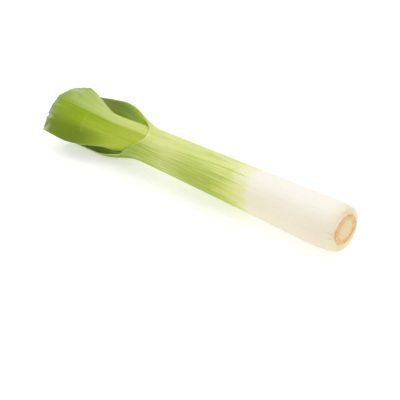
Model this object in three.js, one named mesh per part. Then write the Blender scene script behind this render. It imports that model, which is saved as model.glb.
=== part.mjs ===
// A trimmed leek lying on its side.
//
// A leek is a stack of leaves on a short stem, the root plate. Each leaf starts as a closed tube, the
// sheath, round the next younger leaf, and ends as an open blade. The blades point to opposite sides
// in turn, and one knife stroke has cut them all. Nothing on a leek moves: its leaves have no joints.
//
// Lengths are millimetres and angles are degrees. The leek lies along X with its root end at +X, rests
// on z = 0 and is centred on the origin in X and Y. Inside the model a point is given by its distance
// along the leek from the root face, its angle round the axis, from +Y (the back) towards +Z (up), and
// its radius from the axis.

import * as THREE from "three";
import { mergeVertices } from "three/addons/utils/BufferGeometryUtils.js";

// The shaft: the outer leaf's sheath, from the rounded base over the bulb to the narrow collar.
const BASE_RADIUS = 15.2;
const BASE_ROUNDING = 3;
const BULB_RADIUS = 19.4;
const BULB_AT = 26;
const COLLAR_RADIUS = 15.3;
const COLLAR_AT = 190;
const SHAFT_TAPER_POWER = 1.13;

// The axis climbs a little, from the bulb on the surface to the wider blades. Below the bulb it
// bends up, so the root plate sits higher than the bulb's middle.
const AXIS_HEIGHT_AT_BULB = 18.8;
const AXIS_CLIMB_PER_MM = 0.0225;
const BASE_LIFT = 1.2;

// Above the collar the inner leaves lean a little towards the open side of the outer leaf.
const LEAN = 1.5;
const LEAN_ANGLE = 232;
const LEAN_FROM = 196;
const LEAN_TO = 235;

// The knife's plane: where it meets the axis, and how much further out it is for each mm of y and z.
const CUT_AT = 281.8;
const CUT_SLANT_Y = -0.385;
const CUT_SLANT_Z = 0.325;
const CUT_ROUGHNESS = 0.2;

// The gap between neighbouring pieces.
const GAP = 0.3;

// The outer leaf's blade is a round trough. Its far side flares sooner and wider, and turns in again
// towards its corner.
const TROUGH_RADIUS = 24.2;
const TROUGH_FROM = 198;
const TROUGH_TO = 240;
const LIP_RADIUS = 29.8;
const LIP_FROM = 191;
const LIP_TO = 246;
const LIP_BEGINS = [-42, 18];
const LIP_ENDS = [61, 109];
const FAR_EDGE_RADIUS = 24.5;
const FAR_EDGE_TO = 290;

// The walls: a sheath's thickness follows from its two radii, and a blade is thinner, most at its rim.
const BLADE_THICKNESS = 1.1;
const RIM_THICKNESS = 0.8;
const TROUGH_THINS_FROM = 186;
const TROUGH_THINS_TO = 216;

// Past this angle from the keel a folded blade's radius doesn't grow any more.
const WIDEST_FOLD_ANGLE = 84;

// The root plate: a low oval disc at the base, and the blunt cone inside the leaves that they grow
// from. Its middle is slightly domed, and round that is a raised ring with the stubs of the roots.
const PLATE_RADIUS = 12.7;
const PLATE_FLATTENING = 0.86;
const PLATE_WAIST_RADIUS = 14;
const PLATE_WAIST_AT = 3;
const PLATE_TOP_RADIUS = 7.5;
const PLATE_TOP_AT = 11.6;
const PLATE_FACE = [
  { radius: 0, along: -0.7 },
  { radius: 4.5, along: -0.6 },
  { radius: 7.6, along: -0.1 },
  { radius: 8.6, along: 0.2 },
  { radius: 9.5, along: -0.8, stubs: true },
  { radius: 10.8, along: -0.8, stubs: true },
  { radius: 12.1, along: -0.56, stubs: true },
  { radius: PLATE_RADIUS, along: 0.2 },
];
const STUB_HEIGHT = 0.5;
const STUBS = 13;
const PLATE_SIDES = 52;

// Where the rings of vertices lie along the sheaths, from the base up.
const OUTER_RINGS = [0, 1, 3, 8, 16, 26, 36, 50, 75, 110, 150];
const INNER_RINGS = [0, 16, 26, 75, 130, 194, 206, 220, 236];
const LAST_RING_BELOW_MOUTH = 8;
const LEAST_RING_SPACING = 3;

// The share of a leaf's columns of vertices that lies on each side of its mouth.
const GAP_COLUMNS = 0.26;

// A leaf's split edge runs from the mouth of its sheath, opposite the keel, up to the cut. Its rise is
// a gentle and a steep power of the angle from the mouth: [gentle share, gentle power, steep power].
const NEAR_EDGE = [0.29, 1.17, 30];
const FAR_EDGE = [0.55, 2.59, 16.6];
const FOLDED_EDGE = [0.5, 2.3, 14];
const STRAIGHT_FOLDED_EDGE = [0.4, 2.3, 30];
const HANGING_FOLDED_EDGE = [0.14, 2.35, 30];

// The leaves, outermost first:
// wall      the sheath's outer and inner radius, as shares of the shaft's
// mouth     how far along the sheath splits open, and at what angle
// gaps      the angles from the mouth to the blade's two edges, backwards and onwards
// edges     the shapes of the two split edges
// flat      a folded blade's half is this far from the axis, and "bulge" more in its middle
// opening   where along the leek each half folds open out of the round sheath
// columns   the number of columns of vertices, and "rings" that of the rings above the sheath
const LEAVES = [
  {
    name: "outer_leaf",
    wall: [1, 0.903],
    mouth: { along: 191, angle: 129 },
    gaps: [114, 98],
    edges: [FAR_EDGE, NEAR_EDGE],
    columns: 48,
    rings: 9,
    colour: 0xcfd99a,
  },
  {
    name: "second_leaf",
    wall: [0.885, 0.785],
    mouth: { along: 222, angle: 296 },
    gaps: [101, 103],
    edges: [HANGING_FOLDED_EDGE, STRAIGHT_FOLDED_EDGE],
    halfFold: 24.5,
    flat: 16.2,
    bulge: [3.2, 1.9],
    opening: [
      [236, 289],
      [215, 270],
    ],
    columns: 46,
    rings: 10,
    colour: 0xa8bf5a,
  },
  {
    name: "third_leaf",
    wall: [0.765, 0.672],
    mouth: { along: 236, angle: 120 },
    gaps: [105, 105],
    edges: [FOLDED_EDGE, FOLDED_EDGE],
    halfFold: 20,
    flat: 12,
    bulge: [1.2, 1.2],
    opening: [
      [238, 288],
      [242, 291],
    ],
    columns: 30,
    rings: 6,
    colour: 0x9fb858,
  },
  {
    name: "fourth_leaf",
    wall: [0.652, 0.56],
    mouth: { along: 248, angle: 298 },
    gaps: [116, 116],
    edges: [FOLDED_EDGE, FOLDED_EDGE],
    halfFold: 20,
    flat: 9.8,
    bulge: [0.8, 0.8],
    opening: [
      [250, 290],
      [250, 290],
    ],
    columns: 28,
    rings: 5,
    colour: 0xb4c66c,
  },
  {
    name: "fifth_leaf",
    wall: [0.538, 0.45],
    mouth: { along: 258, angle: 118 },
    gaps: [114, 114],
    edges: [FOLDED_EDGE, FOLDED_EDGE],
    halfFold: 20,
    flat: 7.4,
    bulge: [0.5, 0.5],
    opening: [
      [258, 292],
      [258, 292],
    ],
    columns: 26,
    rings: 4,
    colour: 0xc6d383,
  },
];

// The heart leaf is still folded shut: a slim solid spindle that narrows and flattens between the
// blades, with the groove of its fold along one side.
const HEART = {
  name: "heart_leaf",
  share: 0.43,
  rings: [26, 75, 130, 194, 206, 220, 236, 250, 265],
  narrowsFrom: 225,
  tipRadius: 4.6,
  flattening: 0.2,
  grooveAngle: 118,
  grooveDepth: 0.55,
  columns: 22,
  colour: 0xd6dd9c,
};

// Diagonals whose spans along the leek differ by less than this count as alike.
const EVEN_SPAN = 1e-3;

const smooth = THREE.MathUtils.smoothstep;
const mix = THREE.MathUtils.lerp;

function cosine(angle) {
  return Math.cos(THREE.MathUtils.degToRad(angle));
}

function sine(angle) {
  return Math.sin(THREE.MathUtils.degToRad(angle));
}

// The turn from one angle to another, within half a turn either way.
function turnFrom(middle, angle) {
  return THREE.MathUtils.euclideanModulo(angle - middle + 180, 360) - 180;
}

// The shaft's radius: a full, rounded shoulder up to the bulb, then a taper to the collar.
function shaftRadius(along) {
  if (along < BULB_AT) {
    const left = Math.min(1, 1 - along / BULB_AT);
    const share = (1 - left ** BASE_ROUNDING) ** (1 / BASE_ROUNDING);
    return mix(BASE_RADIUS, BULB_RADIUS, share);
  }
  const left = Math.max(0, (COLLAR_AT - along) / (COLLAR_AT - BULB_AT));
  return COLLAR_RADIUS + (BULB_RADIUS - COLLAR_RADIUS) * left ** SHAFT_TAPER_POWER;
}

function axisHeight(along) {
  const lift = BASE_LIFT * Math.max(0, 1 - along / BULB_AT) ** 2;
  return AXIS_HEIGHT_AT_BULB + AXIS_CLIMB_PER_MM * (along - BULB_AT) + lift;
}

function pointAt(along, angle, radius, leans) {
  const lean = leans ? LEAN * smooth(along, LEAN_FROM, LEAN_TO) : 0;
  const y = radius * cosine(angle) + lean * cosine(LEAN_ANGLE);
  const z = radius * sine(angle) + lean * sine(LEAN_ANGLE);
  return new THREE.Vector3(-along, y, axisHeight(along) + z);
}

// The radius at which a ray from the axis meets the surface that the leek lies on.
function radiusToSurface(along, angle) {
  const down = -sine(angle);
  return down > 0 ? axisHeight(along) / down : Infinity;
}

function cutAt(angle, radius) {
  return CUT_AT + CUT_SLANT_Y * radius * cosine(angle) + CUT_SLANT_Z * radius * sine(angle);
}

// A knife leaves a slightly uneven edge on a ribbed blade.
function unevenness(angle) {
  return CUT_ROUGHNESS * (sine(11 * angle) + 0.6 * sine(23 * angle + 40));
}

// The outer leaf's outside radius: the sheath's, then the trough's, with the lip at its far edge.
function outerLeafRadius(along, angle) {
  const sheath = shaftRadius(along);
  const trough = mix(sheath, TROUGH_RADIUS, smooth(along, TROUGH_FROM, TROUGH_TO));
  const widest = mix(LIP_RADIUS, FAR_EDGE_RADIUS, smooth(along, LIP_TO, FAR_EDGE_TO));
  const lip = mix(sheath, widest, smooth(along, LIP_FROM, LIP_TO));
  const turn = turnFrom(0, angle);
  const farShare = smooth(turn, ...LIP_BEGINS) * (1 - smooth(turn, ...LIP_ENDS));
  return mix(trough, lip, farShare);
}

// A folded leaf is measured from its keel, which lies opposite the mouth: the turn from the keel,
// which of its two halves that is in, and how far that half has opened.
function fold(leaf, along, angle) {
  const turn = turnFrom(leaf.mouth.angle + 180, angle);
  const half = turn < 0 ? 0 : 1;
  const [from, to] = leaf.opening[half];
  return { turn: Math.min(Math.abs(turn), WIDEST_FOLD_ANGLE), half, open: smooth(along, from, to) };
}

// A folded leaf's outside radius: the sheath's, turning into two halves that lean away from the keel.
function foldedLeafRadius(leaf, along, angle) {
  const { turn, half, open } = fold(leaf, along, angle);
  const bulge = leaf.bulge[half] * sine((180 * turn) / WIDEST_FOLD_ANGLE);
  const blade = (leaf.flat + bulge) / cosine(turn - leaf.halfFold);
  return mix(leaf.wall[0] * shaftRadius(along), blade, open);
}

function outsideRadius(leaf, along, angle) {
  return leaf.halfFold ? foldedLeafRadius(leaf, along, angle) : outerLeafRadius(along, angle);
}

// The wall's thickness along the radius: the sheath's, thinning towards the rim. A folded blade stands
// slanting to the radius, so its thickness is stretched to match.
function wallThickness(leaf, along, angle, towardsRim) {
  const sheath = (leaf.wall[0] - leaf.wall[1]) * shaftRadius(along);
  const thin = mix(BLADE_THICKNESS, RIM_THICKNESS, towardsRim ** 4);
  if (!leaf.halfFold) {
    return mix(sheath, thin, towardsRim * smooth(along, TROUGH_THINS_FROM, TROUGH_THINS_TO));
  }
  const { turn, open } = fold(leaf, along, angle);
  return mix(mix(sheath, thin, towardsRim), thin / cosine(turn - leaf.halfFold), open);
}

// Where a leaf ends at an angle: at the cut across its blade, and beside that along a split edge.
function leafEnd(leaf, angle) {
  const cut = cutAt(angle, outsideRadius(leaf, CUT_AT, angle)) + unevenness(angle);
  const turn = turnFrom(leaf.mouth.angle, angle);
  const side = turn < 0 ? 0 : 1;
  const share = Math.min(1, Math.abs(turn) / leaf.gaps[side]);
  const [gentle, gentlePower, steepPower] = leaf.edges[side];
  const rise = gentle * share ** gentlePower + (1 - gentle) * share ** steepPower;
  return mix(leaf.mouth.along, cut, rise);
}

// The angles of a leaf's columns, once round from the mouth: even across the blade, and closer
// together beside its edges, where the split edge is steep.
function columnAngles(leaf) {
  const [behind, ahead] = leaf.gaps;
  const blade = 360 - ahead - behind;
  const gapColumns = Math.round(leaf.columns * GAP_COLUMNS);
  const bladeColumns = leaf.columns - 2 * gapColumns;
  const crowded = (share) => 0.5 * share + 0.5 * sine(90 * share);
  const turns = [];
  for (let i = 0; i < gapColumns; i++) {
    turns.push(ahead * crowded(i / gapColumns));
  }
  for (let i = 0; i < bladeColumns; i++) {
    turns.push(ahead + (blade * i) / bladeColumns);
  }
  for (let i = gapColumns; i >= 0; i--) {
    turns.push(360 - behind * crowded(i / gapColumns));
  }
  return turns.map((turn) => leaf.mouth.angle + turn);
}

// How much nearer the axis the root plate's oval edge is at an angle than at its widest.
function ovalShare(angle) {
  return 1 / Math.hypot(cosine(angle), sine(angle) / PLATE_FLATTENING);
}

// A leaf's foot stands just clear of the root plate's cone.
function footAt(radius) {
  const slope = (PLATE_TOP_AT - PLATE_WAIST_AT) / (PLATE_WAIST_RADIUS - PLATE_TOP_RADIUS);
  return PLATE_WAIST_AT + slope * (PLATE_WAIST_RADIUS - radius) + 2 * GAP;
}

// One closed surface: shared vertices merged, and triangles that shrank to a line left out.
function closed(geometry) {
  geometry.deleteAttribute("normal");
  geometry.deleteAttribute("uv");
  const merged = mergeVertices(geometry, 1e-3);
  const corners = Array.from(merged.index.array);
  const kept = [];
  for (let i = 0; i < corners.length; i += 3) {
    const [a, b, c] = corners.slice(i, i + 3);
    if (a !== b && b !== c && c !== a) {
      kept.push(a, b, c);
    }
  }
  merged.setIndex(kept);
  merged.computeVertexNormals();
  return merged;
}

// A lathe's grid of columns and rows, with each vertex moved to where "place" puts it. Each quad is
// split along the diagonal that runs more straight across the leek. That is the same one outside and,
// from the row "innerFrom" on, inside a wall, so the two faces can't cross.
function reshapedLathe(columns, rows, innerFrom, place) {
  const outline = Array.from({ length: rows }, (_, row) => new THREE.Vector2(1, row));
  const lathe = new THREE.LatheGeometry(outline, columns);
  const position = lathe.attributes.position;
  for (let column = 0; column <= columns; column++) {
    for (let row = 0; row < rows; row++) {
      const { x, y, z } = place(column, row);
      position.setXYZ(column * rows + row, x, y, z);
    }
  }
  const corners = [];
  for (let column = 0; column < columns; column++) {
    for (let row = 0; row + 1 < rows; row++) {
      const a = column * rows + row;
      const b = a + rows;
      const rising = Math.abs(position.getX(b + 1) - position.getX(a));
      const falling = Math.abs(position.getX(b) - position.getX(a + 1));
      const even = Math.abs(rising - falling) < EVEN_SPAN;
      const splitRising = even ? row >= innerFrom : rising < falling;
      const quad = splitRising ? [a, b + 1, b, a, a + 1, b + 1] : [a, a + 1, b, b + 1, b, a + 1];
      corners.push(...quad);
    }
  }
  lathe.setIndex(corners);
  return closed(lathe);
}

// A leaf as one closed wall: up the outside, over the rim, down the inside and back at the foot.
function leafGeometry(leaf) {
  const outermost = !leaf.halfFold;
  const angles = columnAngles(leaf);
  const lastRing = leaf.mouth.along - LAST_RING_BELOW_MOUTH;
  const rings = (outermost ? OUTER_RINGS : INNER_RINGS).filter(
    (along) => along < lastRing - LEAST_RING_SPACING,
  );
  rings.push(lastRing);
  const levels = rings.length + leaf.rings;

  function place(column, row) {
    const angle = angles[column];
    const step = row % (2 * levels);
    const inside = step >= levels;
    const level = inside ? 2 * levels - 1 - step : step;
    const towardsRim = Math.max(0, (level - rings.length + 1) / leaf.rings);
    let along = level < rings.length ? rings[level] : mix(lastRing, leafEnd(leaf, angle), towardsRim);
    if (level === 0 && !outermost) {
      along = footAt(leaf.wall[inside ? 1 : 0] * shaftRadius(PLATE_WAIST_AT));
    }
    const outside = outsideRadius(leaf, along, angle);
    const resting = Math.min(outside, radiusToSurface(along, angle));
    let radius = resting;
    if (inside) {
      const round = outside - wallThickness(leaf, along, angle, towardsRim);
      radius = Math.min(round, resting - RIM_THICKNESS);
    }
    if (inside && outermost && level === 0) {
      radius = PLATE_RADIUS * ovalShare(angle) + GAP;
    }
    return pointAt(along, angle, radius, !outermost);
  }

  return reshapedLathe(angles.length - 1, 2 * levels + 1, levels, place);
}

// The heart leaf, from just above the root plate's top to the cut.
function heartGeometry() {
  const rings = [PLATE_TOP_AT + GAP, ...HEART.rings];
  const rows = rings.length + 3;

  function place(column, row) {
    const turn = (360 * (column % HEART.columns)) / HEART.columns;
    const atCut = row > rings.length;
    const level = atCut ? CUT_AT : rings[Math.max(0, row - 1)];
    const narrowing = smooth(level, HEART.narrowsFrom, CUT_AT);
    const round = mix(HEART.share * shaftRadius(level), HEART.tipRadius, narrowing);
    const flat = 1 + HEART.flattening * narrowing * cosine(2 * turn);
    const groove = turn === 0 ? 1 - HEART.grooveDepth * narrowing : 1;
    const onAxis = row === 0 || row === rows - 1;
    const radius = onAxis ? 0 : round * flat * groove;
    const angle = HEART.grooveAngle + turn;
    return pointAt(atCut ? cutAt(angle, radius) : level, angle, radius, true);
  }

  return reshapedLathe(HEART.columns, rows, rows, place);
}

// The root plate: its oval face with the stubs as bumps on the ring, and the cone behind it.
function rootPlateGeometry() {
  const outline = [
    ...PLATE_FACE,
    { radius: PLATE_WAIST_RADIUS, along: PLATE_WAIST_AT, round: true },
    { radius: PLATE_TOP_RADIUS, along: PLATE_TOP_AT, round: true },
    { radius: 0, along: PLATE_TOP_AT },
  ];

  function place(column, row) {
    const angle = (360 * column) / PLATE_SIDES;
    const { radius, along, stubs, round } = outline[row];
    const stub = stubs ? STUB_HEIGHT * Math.max(0, cosine(STUBS * angle)) : 0;
    return pointAt(along - stub, angle, round ? radius : radius * ovalShare(angle), false);
  }

  return reshapedLathe(PLATE_SIDES, outline.length, outline.length, place);
}

function piece(name, geometry, color, roughness) {
  const material = new THREE.MeshStandardMaterial({ color, roughness, metalness: 0 });
  const mesh = new THREE.Mesh(geometry, material);
  mesh.name = name;
  return mesh;
}

const leek = new THREE.Group();
leek.add(piece("root_plate", rootPlateGeometry(), 0xe0b878, 0.85));
for (const leaf of LEAVES) {
  leek.add(piece(leaf.name, leafGeometry(leaf), leaf.colour, 0.5));
}
leek.add(piece(HEART.name, heartGeometry(), HEART.colour, 0.5));

// The leek is centred on the origin in X and Y. It already rests on z = 0.
const middle = new THREE.Box3().setFromObject(leek, true).getCenter(new THREE.Vector3());
leek.position.set(-middle.x, -middle.y, 0);

export default leek;
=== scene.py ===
# %% [markdown]
# # A trimmed leek
#
# A leek is a short stem, the root plate, with a stack of leaves on it. Each leaf is a closed tube, the
# sheath, round the next younger one, and ends as an open blade. The sheaths are white where they grew
# under the soil and green where they grew in the light. The root plate's roots and all the blades have
# been trimmed with a knife.
#
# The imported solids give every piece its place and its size. Each is replaced here by a finer piece of
# the same form, with the ribs, the thin rims, the trimmed roots and the colours of the real thing.

# %% Load the frame
import math
import random

import bmesh
import bpy
import numpy as np
from mathutils import Matrix, Vector, noise


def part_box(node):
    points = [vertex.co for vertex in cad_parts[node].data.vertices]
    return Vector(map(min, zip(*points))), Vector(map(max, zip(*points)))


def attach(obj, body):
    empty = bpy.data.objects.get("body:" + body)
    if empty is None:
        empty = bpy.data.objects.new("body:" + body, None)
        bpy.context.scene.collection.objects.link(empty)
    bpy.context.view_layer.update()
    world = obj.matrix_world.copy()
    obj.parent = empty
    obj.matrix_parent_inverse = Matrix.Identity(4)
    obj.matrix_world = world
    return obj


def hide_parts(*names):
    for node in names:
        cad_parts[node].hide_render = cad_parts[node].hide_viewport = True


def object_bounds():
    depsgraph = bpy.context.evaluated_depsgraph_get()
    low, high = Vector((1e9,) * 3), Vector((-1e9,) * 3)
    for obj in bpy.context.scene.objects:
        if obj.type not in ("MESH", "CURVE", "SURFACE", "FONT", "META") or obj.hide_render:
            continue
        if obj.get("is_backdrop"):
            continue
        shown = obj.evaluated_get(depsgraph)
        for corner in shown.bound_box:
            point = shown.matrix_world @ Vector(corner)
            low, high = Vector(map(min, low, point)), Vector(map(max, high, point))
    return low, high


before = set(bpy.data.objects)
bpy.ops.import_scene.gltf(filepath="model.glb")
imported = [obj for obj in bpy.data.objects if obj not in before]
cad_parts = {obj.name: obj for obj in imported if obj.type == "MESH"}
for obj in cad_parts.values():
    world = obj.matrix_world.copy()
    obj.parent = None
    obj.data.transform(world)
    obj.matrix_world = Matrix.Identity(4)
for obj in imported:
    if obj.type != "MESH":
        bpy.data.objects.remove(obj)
cad_box = [list(corner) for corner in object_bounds()]
MM = 0.001
BODY = "root"
print("packed nodes:", sorted(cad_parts))
print("packed box in mm:", [[round(value / MM, 1) for value in corner] for corner in cad_box])

# %% [markdown]
# ## The leek's own measures
#
# On a long round thing it is easiest to say where a point is by three numbers: how far along the leek
# it is from the root face, at what angle round the axis, and how far from the axis. The angle starts at
# +Y, the back, and turns towards +Z, up. Lengths are in millimetres here, and become metres when a
# vertex is placed. Where the axis lies is read from the root plate, the one piece that is round it.

# %% Where the leek lies
PLATE_TOP_AT = 11.6
plate_low, plate_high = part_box("root_plate")
ROOT_FACE_X = plate_low.x / MM + PLATE_TOP_AT
AXIS_Y = (plate_low.y + plate_high.y) / 2 / MM
print(f"root face at x = {ROOT_FACE_X:.2f} mm, axis at y = {AXIS_Y:.2f} mm")

# %% The shaft's shape
BASE_RADIUS = 15.2
BASE_ROUNDING = 3
BULB_RADIUS = 19.4
BULB_AT = 26
COLLAR_RADIUS = 15.3
COLLAR_AT = 190
SHAFT_TAPER_POWER = 1.13
AXIS_HEIGHT_AT_BULB = 18.8
AXIS_CLIMB_PER_MM = 0.0225
BASE_LIFT = 1.2


def smooth(value, low, high):
    """0 below low, 1 above high, and an S curve between them."""
    share = np.clip((value - low) / (high - low), 0, 1)
    return share * share * (3 - 2 * share)


def mix(first, second, share):
    return first + (second - first) * share


def cosine(angle):
    return np.cos(np.radians(angle))


def sine(angle):
    return np.sin(np.radians(angle))


def turn_from(middle, angle):
    """The turn from one angle to another, within half a turn either way."""
    return (angle - middle + 180) % 360 - 180


def shaft_radius(along):
    """A full, rounded shoulder up to the bulb, then a taper that fades out at the collar."""
    below = np.clip(1 - along / BULB_AT, 0, 1)
    above = np.clip((COLLAR_AT - along) / (COLLAR_AT - BULB_AT), 0, 1)
    base = mix(BASE_RADIUS, BULB_RADIUS, (1 - below**BASE_ROUNDING) ** (1 / BASE_ROUNDING))
    shaft = COLLAR_RADIUS + (BULB_RADIUS - COLLAR_RADIUS) * above**SHAFT_TAPER_POWER
    return np.where(along < BULB_AT, base, shaft)


def axis_height(along):
    """The axis climbs towards the blades, and also bends up a little to the root plate."""
    lift = BASE_LIFT * np.maximum(1 - along / BULB_AT, 0) ** 2
    return AXIS_HEIGHT_AT_BULB + AXIS_CLIMB_PER_MM * (along - BULB_AT) + lift


# %% From the leek's measures to a place
LEAN = 1.5
LEAN_ANGLE = 232
LEAN_FROM = 196
LEAN_TO = 235


def place(along, angle, radius, leans):
    """Points in metres. Above the collar the inner leaves lean towards the outer leaf's open side."""
    lean = LEAN * smooth(along, LEAN_FROM, LEAN_TO) * leans
    x = ROOT_FACE_X - along
    y = AXIS_Y + radius * cosine(angle) + lean * cosine(LEAN_ANGLE)
    z = axis_height(along) + radius * sine(angle) + lean * sine(LEAN_ANGLE)
    return np.stack([x, y, z], -1) * MM


def radius_to_surface(along, angle):
    """How far from the axis the surface is that the leek lies on."""
    down = np.maximum(-sine(angle), 1e-6)
    return axis_height(along) / down


# %% [markdown]
# ## Camera, floor and light
#
# The leek is shown from above its front left, through a long lens, so that it keeps nearly parallel
# sides. It lies on a white table in a tent of white light. The table is lit from below as well, as in a
# studio, and that light is what keeps the underside of a pale vegetable pale. One large soft lamp above
# and behind gives the round shaft its brighter top and the table a soft shadow.

# %% The camera
VIEW_AZIMUTH = math.radians(40)
VIEW_ELEVATION = math.radians(31)
VIEW_DISTANCE = 1100 * MM
LENS = 124.03
SENSOR_WIDTH = 36
FARTHEST_SEEN = 20
TARGET_ALONG = 133.51
TARGET_ASIDE = -8.71
TARGET_HEIGHT = -2.33

target = Vector((ROOT_FACE_X - TARGET_ALONG, AXIS_Y + TARGET_ASIDE, TARGET_HEIGHT)) * MM
towards_camera = Vector(
    (
        math.sin(VIEW_AZIMUTH) * math.cos(VIEW_ELEVATION),
        -math.cos(VIEW_AZIMUTH) * math.cos(VIEW_ELEVATION),
        math.sin(VIEW_ELEVATION),
    )
)
bpy.ops.object.camera_add(location=target + towards_camera * VIEW_DISTANCE)
camera = bpy.context.object
camera.name = "camera"
camera.rotation_euler = towards_camera.to_track_quat("Z", "Y").to_euler()
camera.data.lens = LENS
camera.data.sensor_width = SENSOR_WIDTH
camera.data.clip_end = FARTHEST_SEEN
bpy.context.scene.camera = camera
print("camera at", [round(value, 3) for value in camera.location])

# %% The table and the light
TABLE_WIDTH = 8
SKY_COLOUR = (1.0, 0.995, 0.985, 1)
SKY_STRENGTH = 0.9
LAMP_PLACE = (-0.35, 0.45, 1.5)
LAMP_WIDTH = 1.8
LAMP_POWER = 6

bpy.ops.mesh.primitive_plane_add(size=TABLE_WIDTH, location=(0, 0, 0))
table = bpy.context.object
table.name = "table"
table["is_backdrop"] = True

bpy.ops.object.light_add(type="AREA", location=LAMP_PLACE)
lamp = bpy.context.object
lamp.name = "soft_lamp"
lamp.data.shape = "DISK"
lamp.data.size = LAMP_WIDTH
lamp.data.energy = LAMP_POWER
lamp.rotation_euler = lamp.location.to_track_quat("Z", "Y").to_euler()

world = bpy.data.worlds.new("light_tent")
world.use_nodes = True
world.node_tree.nodes["Background"].inputs["Color"].default_value = SKY_COLOUR
world.node_tree.nodes["Background"].inputs["Strength"].default_value = SKY_STRENGTH
bpy.context.scene.world = world
bpy.context.scene.view_settings.view_transform = "Standard"
print("lamp at", [round(value, 2) for value in lamp.location])

# %% [markdown]
# ## One leaf as a mesh
#
# A leaf could be modelled from a flat sheet, rolled up. But a leek's leaf is closed all round for most
# of its length, so a tube is nearer: a cylinder without ends for the sheath, whose upper ring is
# extruded to the blade. Both are cut into rows. Then every vertex is moved to its place on the leaf by
# a formula, which keeps the rows running round the leaf and the columns running along it, as its veins
# do. Sculpting or a lattice would lose that order. The wall comes last, from a Solidify modifier that
# grows inwards, and a narrow bevel takes the sharpness off the rims.

# %% A plain tube in rows and columns


def leave_edit():
    bpy.ops.object.mode_set(mode="OBJECT")


def start_alone():
    """Leaves edit mode and deselects everything, so that the next operator acts on its own piece."""
    if bpy.context.object and bpy.context.object.mode == "EDIT":
        leave_edit()
    bpy.ops.object.select_all(action="DESELECT")


def take_alone(piece):
    """Makes a piece the active one, and the only one selected."""
    start_alone()
    piece.select_set(True)
    bpy.context.view_layer.objects.active = piece


def edit(piece):
    take_alone(piece)
    bpy.ops.object.mode_set(mode="EDIT")


def name_new(name):
    """Names the piece that was just made, and puts its place and its size into its mesh."""
    piece = bpy.context.object
    piece.name = name
    bpy.ops.object.transform_apply(location=True, rotation=True, scale=True)
    return piece


def new_cylinder(name, sides, radius, begin, end, ends):
    """A cylinder along X between two distances from the root face."""
    start_alone()
    bpy.ops.mesh.primitive_cylinder_add(
        vertices=sides,
        radius=radius * MM,
        depth=(end - begin) * MM,
        end_fill_type=ends,
        rotation=(0, -math.pi / 2, 0),
        location=((ROOT_FACE_X - (begin + end) / 2) * MM, 0, 0),
    )
    return name_new(name)


def select_edges(piece, wanted):
    """In edit mode, selects the edges whose two ends pass the test."""
    bpy.ops.mesh.select_mode(type="EDGE")
    bpy.ops.mesh.select_all(action="DESELECT")
    mesh = bmesh.from_edit_mesh(piece.data)
    for edge in mesh.edges:
        edge.select_set(wanted(*(vertex.co for vertex in edge.verts)))
    mesh.select_flush_mode()
    bmesh.update_edit_mesh(piece.data)


def plain_tube(name, columns, sheath_rows, blade_rows, sheath_length, blade_length):
    """An open tube at true size along X, with its foot at the root face."""
    tube = new_cylinder(name, columns, BULB_RADIUS, 0, sheath_length, "NOTHING")
    edit(tube)
    sheath_end = (ROOT_FACE_X - sheath_length) * MM
    select_edges(tube, lambda a, b: abs(a.x - b.x) > MM)
    bpy.ops.mesh.subdivide(number_cuts=sheath_rows - 1)
    select_edges(tube, lambda a, b: max(a.x, b.x) < sheath_end + 0.01 * MM)
    bpy.ops.mesh.extrude_region_move(TRANSFORM_OT_translate={"value": (-blade_length * MM, 0, 0)})
    select_edges(tube, lambda a, b: min(a.x, b.x) < sheath_end - MM and abs(a.x - b.x) > MM)
    bpy.ops.mesh.subdivide(number_cuts=blade_rows - 1)
    leave_edit()
    return tube


# %% [markdown]
# ## Where a leaf's edges run
#
# Each sheath splits open at its mouth, and from there its rim climbs round both sides, gently at first
# and then steeply, until it reaches the knife's cut across the blade. The columns of vertices are
# closer together beside the two steep edges. On the blade's side they are even, so one of them runs
# exactly along the keel.

# %% The cut and the columns
CUT_AT = 281.8
CUT_SLANT_Y = -0.385
CUT_SLANT_Z = 0.325
CUT_ROUGHNESS = 0.2
KNIFE_WAVES = ((11, 0, 1), (23, 40, 0.6))
GAP_COLUMNS = 0.26
NEAR_EDGE = (0.29, 1.17, 30)
FAR_EDGE = (0.55, 2.59, 16.6)
FOLDED_EDGE = (0.5, 2.3, 14)
STRAIGHT_FOLDED_EDGE = (0.4, 2.3, 30)
HANGING_FOLDED_EDGE = (0.14, 2.35, 30)


def cut_at(angle, radius):
    """The knife's plane: how far along it lies, at an angle and a radius."""
    return CUT_AT + CUT_SLANT_Y * radius * cosine(angle) + CUT_SLANT_Z * radius * sine(angle)


def waves(angle, rows):
    """Waves round the leek, added up. Each has a count, a start and a size."""
    return sum(size * sine(count * angle + start) for count, start, size in rows)


def unevenness(angle):
    """A knife leaves a slightly uneven edge on a ribbed blade."""
    return CUT_ROUGHNESS * waves(angle, KNIFE_WAVES)


def crowded(share):
    return 0.5 * share + 0.5 * sine(90 * share)


def column_turn(leaf, share):
    """The turn from the mouth of the column at a share of the way round."""
    behind, ahead = leaf["gaps"]
    gap = round(leaf["columns"] * GAP_COLUMNS) / leaf["columns"]
    blade = (360 - ahead - behind) * (share - gap) / (1 - 2 * gap)
    after = 360 - behind * crowded(np.clip((1 - share) / gap, 0, 1))
    before = ahead * crowded(np.clip(share / gap, 0, 1))
    return np.where(share < gap, before, np.where(share <= 1 - gap, ahead + blade, after))


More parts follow.
